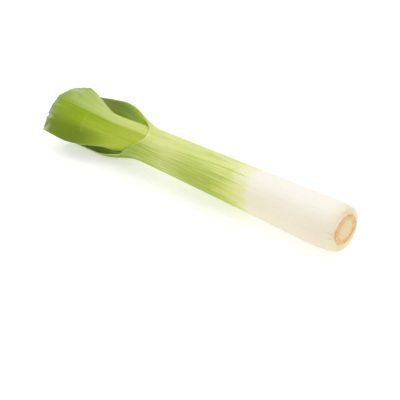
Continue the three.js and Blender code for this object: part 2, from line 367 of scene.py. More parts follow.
def leaf_end(leaf, angle):
    """Where the leaf ends at an angle: at the cut, and beside that along a split edge."""
    cut = cut_at(angle, outside_radius(leaf, CUT_AT, angle)) + unevenness(angle)
    cut = cut - leaf["notches"](angle)
    turn = turn_from(leaf["mouth_angle"], angle)
    rise = 0
    for side, (gap, edge) in enumerate(zip(leaf["gaps"], leaf["edges"])):
        gentle, gentle_power, steep_power = edge
        share = np.clip(np.abs(turn) / gap, 0, 1)
        climb = gentle * share**gentle_power + (1 - gentle) * share**steep_power
        rise = rise + climb * ((turn < 0) == (side == 0))
    return mix(leaf["mouth_at"], cut, rise)


# %% [markdown]
# ## How far from the axis a leaf is
#
# A sheath is round and is as wide as its share of the shaft. The outer leaf's blade opens into a round
# trough with a flared lip on its far side. A folded leaf's blade is two nearly flat halves that meet in
# the keel. Its ridge is a little rounded, as on the real leaf.

# %% The outer leaf's trough
TROUGH_RADIUS = 24.2
TROUGH_FROM = 198
TROUGH_TO = 240
LIP_RADIUS = 29.8
LIP_FROM = 191
LIP_TO = 246
LIP_BEGINS = (-42, 18)
LIP_ENDS = (61, 109)
FAR_EDGE_RADIUS = 24.5
FAR_EDGE_TO = 290


def outer_leaf_radius(along, angle):
    sheath = shaft_radius(along)
    trough = mix(sheath, TROUGH_RADIUS, smooth(along, TROUGH_FROM, TROUGH_TO))
    widest = mix(LIP_RADIUS, FAR_EDGE_RADIUS, smooth(along, LIP_TO, FAR_EDGE_TO))
    lip = mix(sheath, widest, smooth(along, LIP_FROM, LIP_TO))
    turn = turn_from(0, angle)
    return mix(trough, lip, smooth(turn, *LIP_BEGINS) * (1 - smooth(turn, *LIP_ENDS)))


# %% The folded leaves' blades
WIDEST_FOLD_ANGLE = 84
KEEL_ROUNDING = 3


def fold(leaf, along, angle):
    """The turn from the keel, and how far that half of the blade has opened."""
    turn = turn_from(leaf["mouth_angle"] + 180, angle)
    rounded = np.minimum(np.sqrt(turn**2 + KEEL_ROUNDING**2), WIDEST_FOLD_ANGLE)
    first, second = leaf["opening"]
    opened = np.where(turn < 0, smooth(along, *first), smooth(along, *second))
    bulge = np.where(turn < 0, *leaf["bulge"])
    return rounded, bulge, opened


def outside_radius(leaf, along, angle):
    if leaf["outermost"]:
        return outer_leaf_radius(along, angle)
    turn, bulge, opened = fold(leaf, along, angle)
    bulged = leaf["flat"] + bulge * sine(180 * turn / WIDEST_FOLD_ANGLE)
    blade = bulged / cosine(turn - leaf["half_fold"])
    return mix(leaf["wall"][0] * shaft_radius(along), blade, opened)


# %% The wall's thickness
BLADE_THICKNESS = 1.1
RIM_THICKNESS = 0.8
TROUGH_THINS_FROM = 186
TROUGH_THINS_TO = 216


def wall_thickness(leaf, along, angle, towards_rim):
    sheath = (leaf["wall"][0] - leaf["wall"][1]) * shaft_radius(along)
    thin = mix(BLADE_THICKNESS, RIM_THICKNESS, towards_rim**4)
    if leaf["outermost"]:
        return mix(sheath, thin, towards_rim * smooth(along, TROUGH_THINS_FROM, TROUGH_THINS_TO))
    opened = fold(leaf, along, angle)[2]
    return mix(mix(sheath, thin, towards_rim), thin, opened)


# %% [markdown]
# ## Relief
#
# The veins of a leek's leaf are low ribs that run from end to end. They are real shape: the light
# catches them. Waves of different counts round the leaf, added up, give ribs that are never quite
# alike. Each leaf adds the dents and creases of its own.

# %% Ribs along a leaf
RIB_WAVES = ((37, 20, 1.0), (53, 75, 0.9), (67, 310, 0.8), (79, 140, 0.6))
SHEATH_RIB_HEIGHT = 0.018
BLADE_RIB_HEIGHT = 0.05
RIBS_RISE_FROM = -70
RIBS_RISE_TO = 30
BASE_WRINKLE_HEIGHT = 0.12
BASE_WRINKLE_FADES = 11
WRINKLE_WAVES = ((61, 0, 1), (43, 50, 0.7))
SLOW_WAVES = ((3, 40, 0.8, 0.12), (2, 200, -0.5, 0.1))


def ribs(along, angle, mouth_at):
    """Low ribs all along, higher on the blade, and fine wrinkles where the base draws in."""
    rise = smooth(along, mouth_at + RIBS_RISE_FROM, mouth_at + RIBS_RISE_TO)
    height = mix(SHEATH_RIB_HEIGHT, BLADE_RIB_HEIGHT, rise)
    wrinkled = BASE_WRINKLE_HEIGHT * np.clip(1 - along / BASE_WRINKLE_FADES, 0, 1) ** 1.5
    slow = sum(
        size * sine(count * angle + start + drift * along) for count, start, drift, size in SLOW_WAVES
    )
    return height * waves(angle, RIB_WAVES) + wrinkled * waves(angle, WRINKLE_WAVES) + slow


# %% Shaping a leaf
LAST_ROW_BELOW_MOUTH = 8
TUCKED_ROWS = 5
TUCKED_UP = 0.35
BASE_CROWDING = 1.6
PLATE_RADIUS = 13.3
PLATE_FLATTENING = 0.86
PLATE_WAIST_RADIUS = 14
PLATE_WAIST_AT = 3
PLATE_TOP_RADIUS = 7.5
GAP = 0.3


def oval_share(angle):
    """How much nearer the axis the root plate's oval edge is than at its widest."""
    return 1 / np.hypot(cosine(angle), sine(angle) / PLATE_FLATTENING)


def foot_at(radius):
    """A leaf's foot stands just clear of the root plate's cone."""
    slope = (PLATE_TOP_AT - PLATE_WAIST_AT) / (PLATE_WAIST_RADIUS - PLATE_TOP_RADIUS)
    return PLATE_WAIST_AT + slope * (PLATE_WAIST_RADIUS - radius) + 2 * GAP


def coordinates(piece):
    """A piece's vertices in millimetres, as one array for each axis."""
    flat = np.empty(len(piece.data.vertices) * 3)
    piece.data.vertices.foreach_get("co", flat)
    return flat.reshape(-1, 3).T / MM


def shape_leaf(leaf):
    """A plain tube, moved to the leaf's form. Its coordinates on the leaf are kept as attributes."""
    sheath_length = leaf["mouth_at"] - LAST_ROW_BELOW_MOUTH
    blade_length = CUT_AT - sheath_length
    name = leaf["name"] + "_fine"
    piece = plain_tube(name, leaf["columns"], *leaf["rows"], sheath_length, blade_length)
    x, y, z = coordinates(piece)
    distance = ROOT_FACE_X - x
    share_round = np.degrees(np.arctan2(z, y)) / 360 % 1
    share_round = np.round(share_round * leaf["columns"]) % leaf["columns"] / leaf["columns"]
    angle = leaf["mouth_angle"] + column_turn(leaf, share_round)
    up_sheath = np.clip(distance / sheath_length, 0, 1)
    towards_rim = np.clip((distance - sheath_length) / blade_length, 0, 1)

    tucked = np.zeros(len(x))
    if leaf["outermost"]:
        row = up_sheath * leaf["rows"][0]
        tucked = np.clip(1 - row / TUCKED_ROWS, 0, 1)
        up_sheath = np.clip((row - TUCKED_ROWS) / (leaf["rows"][0] - TUCKED_ROWS), 0, 1)
        in_sheath = sheath_length * up_sheath**BASE_CROWDING
    else:
        in_sheath = mix(foot_at(leaf["wall"][0] * shaft_radius(PLATE_WAIST_AT)), sheath_length, up_sheath)
    end = leaf_end(leaf, angle)
    along = np.where(towards_rim > 0, mix(sheath_length, end, towards_rim), in_sheath)

    radius = outside_radius(leaf, along, angle) + ribs(along, angle, leaf["mouth_at"])
    radius = radius + leaf["dents"](along, angle)
    radius = np.minimum(radius, radius_to_surface(along, angle))
    radius = mix(radius, PLATE_RADIUS * oval_share(angle) + 0.5 * GAP, tucked)
    points = place(along + TUCKED_UP * tucked**2, angle, radius, 0 if leaf["outermost"] else 1)
    piece.data.vertices.foreach_set("co", points.ravel())

    grain = np.stack([along, COLLAR_RADIUS * cosine(angle), COLLAR_RADIUS * sine(angle)], -1) * MM
    keep_on_points(piece, "grain", grain)
    keep_on_points(piece, "rim_distance", end - along)
    keep_on_points(piece, "keel_turn", turn_from(leaf["mouth_angle"] + 180, angle))
    piece.data.update()
    give_wall(piece, wall_thickness(leaf, along, angle, towards_rim))
    return piece


def keep_on_points(piece, name, values):
    """Keeps a number or a vector for each vertex, which the finish then reads by its name."""
    kind, field = ("FLOAT_VECTOR", "vector") if values.ndim == 2 else ("FLOAT", "value")
    attribute = piece.data.attributes.new(name, kind, "POINT")
    attribute.data.foreach_set(field, values.ravel().astype(np.float32))


# %% The wall and its rims
RIM_BEVEL = 0.22
RIM_ANGLE = 62


def outwards(piece):
    """Turns all faces of a piece outwards."""
    edit(piece)
    bpy.ops.mesh.select_all(action="SELECT")
    bpy.ops.mesh.normals_make_consistent(inside=False)
    leave_edit()


def apply_modifiers(piece):
    """Applies a piece's modifiers from the top down."""
    take_alone(piece)
    for modifier in list(piece.modifiers):
        bpy.ops.object.modifier_apply(modifier=modifier.name)


def give_wall(piece, thickness):
    """Grows the wall inwards by each vertex's thickness, and bevels its rims."""
    outwards(piece)
    thickest = float(thickness.max())
    group = piece.vertex_groups.new(name="wall")
    for index, value in enumerate(thickness):
        group.add([index], float(value) / thickest, "REPLACE")
    wall = piece.modifiers.new("wall", "SOLIDIFY")
    wall.thickness = thickest * MM
    wall.offset = -1
    wall.vertex_group = "wall"
    wall.material_offset = 1
    wall.material_offset_rim = 2
    rims = piece.modifiers.new("rims", "BEVEL")
    rims.width = RIM_BEVEL * MM
    rims.segments = 2
    rims.limit_method = "ANGLE"
    rims.angle_limit = math.radians(RIM_ANGLE)
    rims.use_clamp_overlap = False


# %% [markdown]
# ## Finishes
#
# A leaf's colour follows its own length and its own veins, so its patterns can't be laid over it from
# outside. They read the attributes that were kept when the leaf was shaped: its grain, the distance to
# its rim and the turn from its keel. Noise that is drawn out along the grain makes streaks that run
# with the veins, also round the base. Two small classes keep the node maths readable.

# %% Shader maths as expressions
LONGEST = 320


def colour(red, green, blue):
    """A colour given as on a screen, from 0 to 255, as the shader's own numbers."""
    shares = np.array([red, green, blue]) / 255
    linear = np.where(shares <= 0.04045, shares / 12.92, ((shares + 0.055) / 1.055) ** 2.4)
    return (*linear.tolist(), 1.0)


def tones(*rows):
    """Colours along the leek: a distance in millimetres, then the colour as on a screen."""
    return tuple((at, colour(*screen)) for at, *screen in rows)


def operator(operation, swapped=False):
    """What a sign between two values does: it adds a Math node."""

    def add_node(self, other):
        first, second = (other, self) if swapped else (self, other)
        return self.math(operation, first, second)

    return add_node


class Value:
    """A node's output. Sums and products of values add Math nodes."""

    def __init__(self, finish, socket):
        self.finish = finish
        self.socket = socket

    def math(self, operation, first, second):
        return self.finish.node("Math", {"operation": operation}, {0: first, 1: second})

    def band(self, low, high):
        """0 below low and 1 above high, with a soft step between."""
        sockets = {"Value": self, "From Min": low, "From Max": high}
        return self.finish.node("MapRange", {"interpolation_type": "SMOOTHSTEP"}, sockets)

    def __abs__(self):
        return self.math("ABSOLUTE", self, 0)

    __add__ = operator("ADD")
    __radd__ = operator("ADD", swapped=True)
    __sub__ = operator("SUBTRACT")
    __rsub__ = operator("SUBTRACT", swapped=True)
    __mul__ = operator("MULTIPLY")
    __truediv__ = operator("DIVIDE")


class Finish:
    """A material built from nodes."""

    def __init__(self, name, constants):
        self.material = bpy.data.materials.new(name)
        self.material.use_nodes = True
        self.shader = self.material.node_tree.nodes["Principled BSDF"]
        for socket, value in constants.items():
            self.feed(self.shader, socket, value)

    def node(self, kind, settings, sockets, output=0):
        """Adds a node: its type, its settings, and the values or links of its sockets."""
        made = self.material.node_tree.nodes.new("ShaderNode" + kind)
        for name, value in settings.items():
            setattr(made, name, value)
        for name, value in sockets.items():
            self.feed(made, name, value)
        return Value(self, self.pick(made.outputs, output))

    def pick(self, sockets, name):
        """A socket by its number, or by its identifier or name."""
        if isinstance(name, int):
            return sockets[name]
        return next(socket for socket in sockets if name in (socket.identifier, socket.name))

    def feed(self, node, name, value):
        socket = self.pick(node.inputs, name)
        if isinstance(value, Value):
            self.material.node_tree.links.new(value.socket, socket)
        else:
            socket.default_value = value

    def attribute(self, name, output="Fac"):
        return self.node("Attribute", {"attribute_name": name}, {}, output)

    def along_leaf(self):
        """The leaf's grain, and how far along the leek it is in millimetres."""
        grain = self.attribute("grain", "Vector")
        return grain, self.node("SeparateXYZ", {}, {"Vector": grain}, "X") / MM

    def noise(self, where, scale, detail):
        sockets = {"Vector": where, "Scale": scale, "Detail": detail}
        return self.node("TexNoise", {}, sockets)

    def speckle(self, scale, detail):
        """Noise by the place in the piece itself, for patterns that follow no grain."""
        return self.noise(self.node("TexCoord", {}, {}, "Object"), scale, detail)

    def blend(self, share, first, second):
        """The first colour, with the second over it by a share."""
        sockets = {"Factor_Float": share, "A_Color": first, "B_Color": second}
        return self.node("Mix", {"data_type": "RGBA"}, sockets, "Result_Color")

    def layers(self, tone, *rows):
        """A colour with others laid over it: each with its share, and the colour as on a screen."""
        for share, *screen in rows:
            tone = self.blend(share, tone, colour(*screen))
        return tone

    def streaks(self, grain, spacing, length, detail=2.0):
        """Noise whose marks are spacing millimetres apart and drawn out to a length along the grain."""
        drawn_out = (spacing / length, 1, 1)
        drawn = self.node("VectorMath", {"operation": "MULTIPLY"}, {0: grain, 1: drawn_out})
        return self.noise(drawn, 1 / (spacing * MM), detail)

    def along_ramp(self, along, steps):
        ramp = self.node("ValToRGB", {}, {"Fac": along / LONGEST})
        elements = ramp.socket.node.color_ramp.elements
        while len(elements) < len(steps):
            elements.new(0.5)
        for element, (at, tone) in zip(elements, steps):
            element.position = at / LONGEST
            element.color = tone
        return ramp

    def shade(self, tone, roughness, height=None, distance=0):
        """Feeds the shader. The height shows as a bump of so many millimetres."""
        self.feed(self.shader, "Base Color", tone)
        self.feed(self.shader, "Roughness", roughness)
        if height:
            sockets = {"Height": height, "Distance": distance * MM}
            self.feed(self.shader, "Normal", self.node("Bump", {}, sockets, "Normal"))
        return self.material


# %% [markdown]
# ## The outer leaf's finish
#
# Outside, the sheath is creamy white with hardly visible lines. It turns pale green over a few
# centimetres, and the green runs further down along some veins than along others. Above that, finer and
# bolder veins show as darker lines. The tones are two rows of colours along the leek: one painted as the
# lit upper side, and one for the lower near side, darker as painted shade, with a little of the leaf's own
# deeper green on the green band. Soil has stained the base a little, and the rim at the mouth is pale and
# dry. Inside, the blade is a fresh green that light shines through, painted lighter than the leaf's own
# green as painted light against the trough's shade, with a duller margin along its rim.

# %% Creamy white, and green with its veins
FLESH = {
    "Subsurface Weight": 0.2,
    "Subsurface Radius": (1.0, 0.85, 0.55),
    "Subsurface Scale": 0.0022,
    "Specular IOR Level": 0.25,
}
STAIN_ANGLE = 84
BOLD_VEINS = ((118, 0.5), (144, 0.32))
VEIN_CLIMB = 16
VEINS_CLIMB = (100, 190)
THIN_LEAF = {**FLESH, "Subsurface Weight": 0.5, "Specular IOR Level": 0.15}
SEEN_THROUGH = {**THIN_LEAF, "Subsurface Weight": 0.95, "Subsurface Scale": 0.005}
# Tones along the leek for the upper side, painted as the lit side.
LIT_SIDE_TONES = tones(
    (0, 238, 229, 204), (10, 246, 240, 229), (40, 246, 240, 232), (80, 244, 239, 226),
    (88, 237, 237, 196), (102, 226, 231, 160), (118, 210, 221, 130), (145, 208, 219, 128),
    (172, 217, 224, 144), (192, 218, 224, 140), (206, 184, 200, 84), (236, 132, 158, 48),
    (300, 120, 146, 60),
)
# Tones for the lower near side: darker as painted shade, and a little as the leaf's own deeper green.
SHADED_SIDE_TONES = tones(
    (0, 236, 226, 198), (10, 234, 224, 200), (40, 237, 229, 208), (78, 235, 228, 202),
    (88, 224, 224, 150), (102, 198, 208, 104), (118, 168, 184, 66), (145, 167, 183, 66),
    (166, 192, 203, 116), (184, 172, 188, 66), (200, 142, 162, 42), (236, 112, 134, 30),
    (300, 104, 126, 40),
)
# The direction painted as lit. The side turned away from it gets the painted shade.
LIT_SIDE = (0.94, 0.34)


def outer_face_of_sheath():
    finish = Finish("sheath_white_to_green", FLESH)
    grain, along = finish.along_leaf()
    across = finish.node("SeparateXYZ", {}, {"Vector": grain}, "Y")
    upwards = finish.node("SeparateXYZ", {}, {"Vector": grain}, "Z")
    angle = upwards.math("ARCTAN2", upwards, across) / math.radians(1)
    # How far round towards the lower near side: the share of the painted shade.
    painted_shade_side = (across * -LIT_SIDE[0] + upwards * -LIT_SIDE[1]) / (COLLAR_RADIUS * MM)
    fine = finish.streaks(grain, 0.8, 45)
    middle = finish.streaks(grain, 3.2, 60)
    broad = finish.streaks(grain, 9, 22)
    running = along + (broad - 0.5) * 24 + (middle - 0.5) * 16 + (fine - 0.5) * 10
    green = running.band(84, 112)
    tone = finish.blend(
        painted_shade_side.band(0.1, 1.0),
        finish.along_ramp(running, LIT_SIDE_TONES),
        finish.along_ramp(running, SHADED_SIDE_TONES),
    )
    veins = []
    for vein_angle, strength in BOLD_VEINS:
        beside = abs(angle - vein_angle - along.band(*VEINS_CLIMB) * VEIN_CLIMB)
        vein = beside.band(1.9, 0.5) * along.band(82, 94) * along.band(182, 150)
        veins.append((vein * strength, 150, 188, 24))
    beside_top = abs(angle - STAIN_ANGLE).band(44, 12)
    stain = (along + (middle - 0.5) * 1.2).band(1.2, 0.0)
    margin = finish.attribute("rim_distance")
    pale_rim = margin.band(2.2, 0.3) * along.band(204, 192) * along.band(184, 190)
    tone = finish.layers(
        tone,
        (fine.band(0.52, 0.66) * green * 0.3, 150, 180, 48),
        (fine.band(0.46, 0.34) * green * 0.38, 230, 236, 184),
        (broad.band(0.50, 0.68) * green * 0.22, 168, 194, 62),
        *veins,
        (middle.band(0.50, 0.70) * (1 - green) * 0.14, 234, 226, 200),
        (stain * (0.15 + beside_top * 0.4), 230, 200, 152),
        (pale_rim * 0.5, 236, 226, 192),
    )
    return finish.shade(tone, 0.38 + fine * 0.16, fine, 0.06)


def inner_face_of_outer_blade():
    finish = Finish("outer_blade_inside", SEEN_THROUGH)
    grain, along = finish.along_leaf()
    margin = finish.attribute("rim_distance")
    fine = finish.streaks(grain, 0.8, 40)
    broad = finish.streaks(grain, 6, 40)
    # These greens are painted lighter than the leaf's own green: painted light against the shade inside the
    # trough. Light also passes through the thin leaf by its subsurface setting.
    steps = tones(
        (0, 232, 230, 200), (170, 216, 224, 140), (198, 210, 226, 104), (222, 182, 210, 104),
        (250, 136, 162, 96), (300, 108, 130, 92),
    )
    tone = finish.along_ramp(along + (broad - 0.5) * 30, steps)
    tone = finish.layers(
        tone,
        (fine.band(0.48, 0.66) * 0.45, 100, 140, 42),
        (margin.band(4, 0.6) * 0.6, 142, 158, 124),
    )
    return finish.shade(tone, 0.45 + broad * 0.2, fine, 0.1)


def cut_flesh():
    """The rims: cream at the mouth, and pale green where the knife went."""
    finish = Finish("rim_flesh", FLESH)
    grain, along = finish.along_leaf()
    cells = finish.noise(grain, 1400, 2)
    steps = tones(
        (0, 236, 214, 172), (170, 238, 230, 208), (192, 238, 226, 202), (198, 222, 222, 156),
        (230, 200, 212, 124), (270, 178, 200, 106),
    )
    tone = finish.along_ramp(along, steps)
    tone = finish.blend(cells.band(0.45, 0.7) * 0.25, tone, colour(160, 186, 84))
    return finish.shade(tone, 0.42 + cells * 0.2, cells, 0.12)


# %% [markdown]
# ## The green leaves' finish
#
# The second leaf is seen most. Its far half is paler, as painted light from above, and its near half is a
# stronger yellow green, darker as painted shade, and the strongest colour runs just beside the keel. The
# low part of its near half is darkened further as painted shade. A dull wax lies over it towards the cut,
# where handling has scuffed it, and a faint crease crosses its near half. The leaves inside it are made
# by the same function, with the same painted light and shade, in tones that get paler towards the heart.

# %% A folded leaf, in tones along it
# Tones for the near half: a stronger, darker green as painted shade.
SHADED_NEAR_TONES = tones(
    (150, 198, 209, 100), (205, 178, 195, 66), (224, 172, 190, 60), (246, 162, 184, 42),
    (262, 142, 168, 26), (280, 138, 164, 34), (292, 142, 162, 58),
)
# Tones for the far half: paler as painted light from above.
LIT_FAR_TONES = tones(
    (150, 206, 216, 130), (205, 202, 213, 114), (242, 190, 204, 118), (262, 178, 194, 102),
    (276, 156, 177, 76), (294, 146, 168, 72),
)
CREASE_AT = 254.8
CREASE_SLANT = -0.035


def outer_face_of_folded_leaf(name, lit_far_tones, shaded_near_tones, depth, bloom, creased):
    """Painted lit and shaded tones for the halves; how strong the veins (depth), wax (bloom) and crease
    are.
    """
    finish = Finish(name, THIN_LEAF)
    grain, along = finish.along_leaf()
    turn = finish.attribute("keel_turn")
    margin = finish.attribute("rim_distance")
    fine = finish.streaks(grain, 0.8, 45)
    middle = finish.streaks(grain, 3.0, 60)
    cloud = finish.streaks(grain, 7, 16)
    running = along + (middle - 0.5) * 20
    near_half = turn.band(-1.5, 1.5)
    tone = finish.blend(
        near_half, finish.along_ramp(running, lit_far_tones), finish.along_ramp(running, shaded_near_tones)
    )
    beside_keel = turn.band(0.5, 3) * turn.band(19, 7) * along.band(205, 240)
    # Painted shade: the low part of the near half, away from the keel, from 220 mm along, is darkened.
    low = turn.band(34, 66) * along.band(220, 256)
    wax = cloud.band(0.40, 0.62)
    pale_corner = wax * turn.band(4, -30) * margin.band(26, 4)
    scuffs = finish.streaks(grain, 1.6, 5, 4)
    scuffed = (0.35 + (scuffs + (cloud - 0.5) * 0.5).band(0.42, 0.62)) * turn.band(3, 12)
    scuffed = scuffed * margin.band(9, 1) * (0.5 + turn.band(34, 46) * 0.7)
    beside_crease = along - turn * CREASE_SLANT - CREASE_AT
    crease = abs(beside_crease).band(1.6, 0.2) * turn.band(4, 12)
    crease = crease * turn.band(74, 58) * (0.4 + scuffs.band(0.4, 0.6))
    tone = finish.layers(
        tone,
        (fine.band(0.50, 0.66) * depth, 116, 148, 22),
        (middle.band(0.46, 0.34) * depth * 0.8, 204, 217, 122),
        (beside_keel * 0.75, 140, 170, 8),
        (low * 0.8, 104, 126, 22),
        (pale_corner * bloom, 190, 202, 156),
        (scuffed * bloom, 178, 190, 146),
        (crease * creased, 206, 217, 120),
    )
    return finish.shade(tone, 0.38 + wax * 0.16 + fine * 0.1, fine, 0.08)


def inner_face_of_folded_leaf(name, pale, deep):
    finish = Finish(name, THIN_LEAF)
    grain = finish.attribute("grain", "Vector")
    fine = finish.streaks(grain, 0.8, 40)
    broad = finish.streaks(grain, 5, 30)
    tone = finish.blend(broad.band(0.35, 0.65), pale, deep)
    tone = finish.blend(fine.band(0.5, 0.66) * 0.35, tone, colour(112, 146, 48))
    return finish.shade(tone, 0.4 + fine * 0.15, fine, 0.1)


# %% [markdown]
# ## The five leaves
#
# Each leaf is a row of measures: the sheath's outer and inner radius as shares of the shaft's, the
# mouth, the angles from the mouth to the blade's edges, and for a folded leaf where its two halves open
# and how far they stand from the axis. The blades point to opposite sides in turn, so every other keel
# faces up.

# %% Dents, creases and nicks
SECOND_KEEL_ANGLE = 116
CREASE_DEPTH = 0.25
CREASE_WIDTH = 2.2
HOLLOW_DEPTH = 0.5
HOLLOW_AT = 262
HOLLOW_LENGTH = 12
EDGE_WAVE = 0.15
EDGE_WAVES_PER_MM = 9 / 360
NICK_AT_KEEL = 1.2
CORNER_AT_KEEL = 1.0
STEP_IN_RIM = 1.5


def none(*_):
    """No marks of a leaf's own."""
    return 0


def bell(value, middle, width):
    """1 in the middle, fading to 0 either side."""
    return np.exp(-(((value - middle) / width) ** 2))


def second_leaf_marks(along, angle):
    """A crease across the near half, a shallow hollow below it, and a slightly wavy far edge."""
    turn = turn_from(SECOND_KEEL_ANGLE, angle)
    near = smooth(turn, 4, 16) * (1 - smooth(turn, 60, 80))
    crease = CREASE_DEPTH * bell(along, CREASE_AT + CREASE_SLANT * turn, CREASE_WIDTH) * near
    hollow = HOLLOW_DEPTH * bell(along, HOLLOW_AT, HOLLOW_LENGTH) * bell(turn, 40, 18)
    at_edge = smooth(-turn, 50, 74) * smooth(along, 225, 250)
    wave = EDGE_WAVE * sine(360 * EDGE_WAVES_PER_MM * (along - 215)) * at_edge
    return wave - crease - hollow


def second_leaf_nicks(angle):
    """Small steps that the knife left in the rim."""
    turn = turn_from(SECOND_KEEL_ANGLE, angle)
    at_keel = NICK_AT_KEEL * bell(turn, -1.7, 1.6) - CORNER_AT_KEEL * bell(turn, -2.5, 7)
    return at_keel + STEP_IN_RIM * smooth(turn, 50.5, 52) * (1 - smooth(turn, 53, 60))


# %% The leaves' measures
PLAIN = dict(outermost=False, dents=none, notches=none)
FOLDED = dict(PLAIN, edges=(FOLDED_EDGE, FOLDED_EDGE), half_fold=20)
LEAVES = (
    dict(
        PLAIN, name="outer_leaf", slot="outer_leaf", outermost=True, wall=(1, 0.903), mouth_at=191,
        mouth_angle=129, gaps=(114, 98), edges=(FAR_EDGE, NEAR_EDGE), columns=320, rows=(50, 62),
    ),
    dict(
        name="second_leaf", slot="green_leaf", outermost=False, wall=(0.885, 0.785), mouth_at=222,
        mouth_angle=296, gaps=(101, 103), edges=(HANGING_FOLDED_EDGE, STRAIGHT_FOLDED_EDGE),
        half_fold=24.5, flat=16.2, bulge=(3.2, 1.9), opening=((236, 289), (215, 270)),
        columns=320, rows=(40, 60), dents=second_leaf_marks, notches=second_leaf_nicks,
    ),
    dict(
        FOLDED, name="third_leaf", slot="green_leaf", wall=(0.765, 0.672), mouth_at=236,
        mouth_angle=120, gaps=(105, 105), flat=12, bulge=(1.2, 1.2),
        opening=((238, 288), (242, 291)), columns=220, rows=(24, 36),
    ),
    dict(
        FOLDED, name="fourth_leaf", slot="inner_leaf", wall=(0.652, 0.56), mouth_at=248,
        mouth_angle=298, gaps=(116, 116), flat=9.8, bulge=(0.8, 0.8),
        opening=((250, 290), (250, 290)), columns=200, rows=(24, 30),
    ),
    dict(
        FOLDED, name="fifth_leaf", slot="inner_leaf", wall=(0.538, 0.45), mouth_at=258,
        mouth_angle=118, gaps=(114, 114), flat=7.4, bulge=(0.5, 0.5),
        opening=((258, 292), (258, 292)), columns=180, rows=(24, 26),
    ),
)
print("leaves:", [leaf["name"] for leaf in LEAVES])

# %% The leaves' finishes
rim = cut_flesh()


def between(first, second, share):
    return tuple(mix(np.array(first), np.array(second), share))


def folded_finishes(name, share, bloom, creased=0):
    """A folded leaf's finishes, with its tones part of the way to the heart's yellow green."""
    far, near = (
        tuple((at, between(tone, colour(218, 224, 150), share)) for at, tone in steps)
        for steps in (LIT_FAR_TONES, SHADED_NEAR_TONES)
    )
    pale = between(colour(182, 202, 112), colour(222, 228, 160), share)
    deep = between(colour(128, 160, 60), colour(196, 208, 120), share)
    outside = outer_face_of_folded_leaf(f"{name}_outside", far, near, 0.22, bloom, creased)
    return outside, inner_face_of_folded_leaf(f"{name}_inside", pale, deep), rim


FINISHES = {
    "outer_leaf": (outer_face_of_sheath(), inner_face_of_outer_blade(), rim),
    "second_leaf": folded_finishes("second_leaf", 0.0, 0.55, 0.09),
    "third_leaf": folded_finishes("third_leaf", 0.1, 0.3),
    "fourth_leaf": folded_finishes("fourth_leaf", 0.35, 0.2),
    "fifth_leaf": folded_finishes("fifth_leaf", 0.6, 0.1),
}
print("finishes:", [finish.name for finishes in FINISHES.values() for finish in finishes[:2]])

# %% Make the leaves


def hand_over(piece, finishes, sharp_angle, node, slot):
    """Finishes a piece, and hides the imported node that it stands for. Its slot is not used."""
    for finish in finishes:
        piece.data.materials.append(finish)
    apply_modifiers(piece)
    bpy.ops.object.shade_smooth_by_angle(angle=math.radians(sharp_angle))
    if node:
        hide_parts(node)
    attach(piece, BODY)
    triangles = sum(len(face.vertices) - 2 for face in piece.data.polygons)
    print(f"{piece.name}: {triangles} triangles")


for leaf in LEAVES:
    hand_over(shape_leaf(leaf), FINISHES[leaf["name"]], 45, leaf["name"], leaf["slot"])

# %% [markdown]
# ## The heart
#
# The youngest leaves are still folded inside each other. Together they are a slim solid, so a cylinder
# with ends is the start. Its cut end is inset again and again, and the rings between go in and out, as
# the layers of the folded leaves do.

# %% Make the heart
HEART_SHARE = 0.43
HEART_TIP_RADIUS = 4.6
HEART_NARROWS_FROM = 225
HEART_FLATTENING = 0.2
HEART_GROOVE_ANGLE = 118
HEART_GROOVE_DEPTH = 0.55
HEART_GROOVE_WIDTH = 7
HEART_LAYERS = 12
HEART_SIDES = 96
HEART_ROWS = 91
LAYER_DEPTH = 0.35


def heart_finish():
    finish = Finish("folded_heart", FLESH)
    grain = finish.attribute("grain", "Vector")
    layer = finish.attribute("layer")
    cells = finish.noise(grain, 1200, 2)
    fine = finish.streaks(grain, 0.8, 40)
    tone = finish.blend(fine, colour(224, 229, 168), colour(204, 215, 134))
    tone = finish.blend(layer * 0.7, tone, colour(168, 190, 86))
    return finish.shade(tone, 0.36 + cells * 0.2, cells, 0.12)


def make_heart():
    heart = new_cylinder("heart_leaf_fine", HEART_SIDES, 1, PLATE_TOP_AT + GAP, CUT_AT, "NGON")
    edit(heart)
    select_edges(heart, lambda a, b: abs(a.x - b.x) > MM)
    bpy.ops.mesh.subdivide(number_cuts=HEART_ROWS - 1)
    cut_x = (ROOT_FACE_X - CUT_AT) * MM
    select_edges(heart, lambda a, b: max(a.x, b.x) < cut_x + 0.01 * MM)
    bpy.ops.mesh.select_mode(type="FACE")
    for _ in range(HEART_LAYERS - 1):
        bpy.ops.mesh.inset(thickness=MM / HEART_LAYERS)
    bpy.ops.mesh.merge(type="CENTER")
    leave_edit()

    x, y, z = coordinates(heart)
    level = ROOT_FACE_X - x
    share = np.sqrt(y**2 + z**2)
    angle = np.degrees(np.arctan2(z, y))
    on_cut = level > CUT_AT - 0.01
    turn = turn_from(HEART_GROOVE_ANGLE, angle)
    narrowing = smooth(level, HEART_NARROWS_FROM, CUT_AT)
    round_radius = mix(HEART_SHARE * shaft_radius(level), HEART_TIP_RADIUS, narrowing)
    flat = 1 + HEART_FLATTENING * narrowing * cosine(2 * turn)
    groove = 1 - HEART_GROOVE_DEPTH * narrowing * bell(turn, 0, HEART_GROOVE_WIDTH)
    radius = share * round_radius * flat * groove
    layer = 0.5 - 0.5 * np.cos(2 * np.pi * share * HEART_LAYERS / 3)
    layer = np.where(on_cut & (share < 0.98), layer, 0)
    along = np.where(on_cut, cut_at(angle, radius) + LAYER_DEPTH * layer, level)
    heart.data.vertices.foreach_set("co", place(along, angle, radius, 1).ravel())
    grain = np.stack([along, radius * cosine(angle), radius * sine(angle)], -1) * MM
    keep_on_points(heart, "grain", grain)
    keep_on_points(heart, "layer", layer)
    heart.data.update()
    outwards(heart)
    return heart


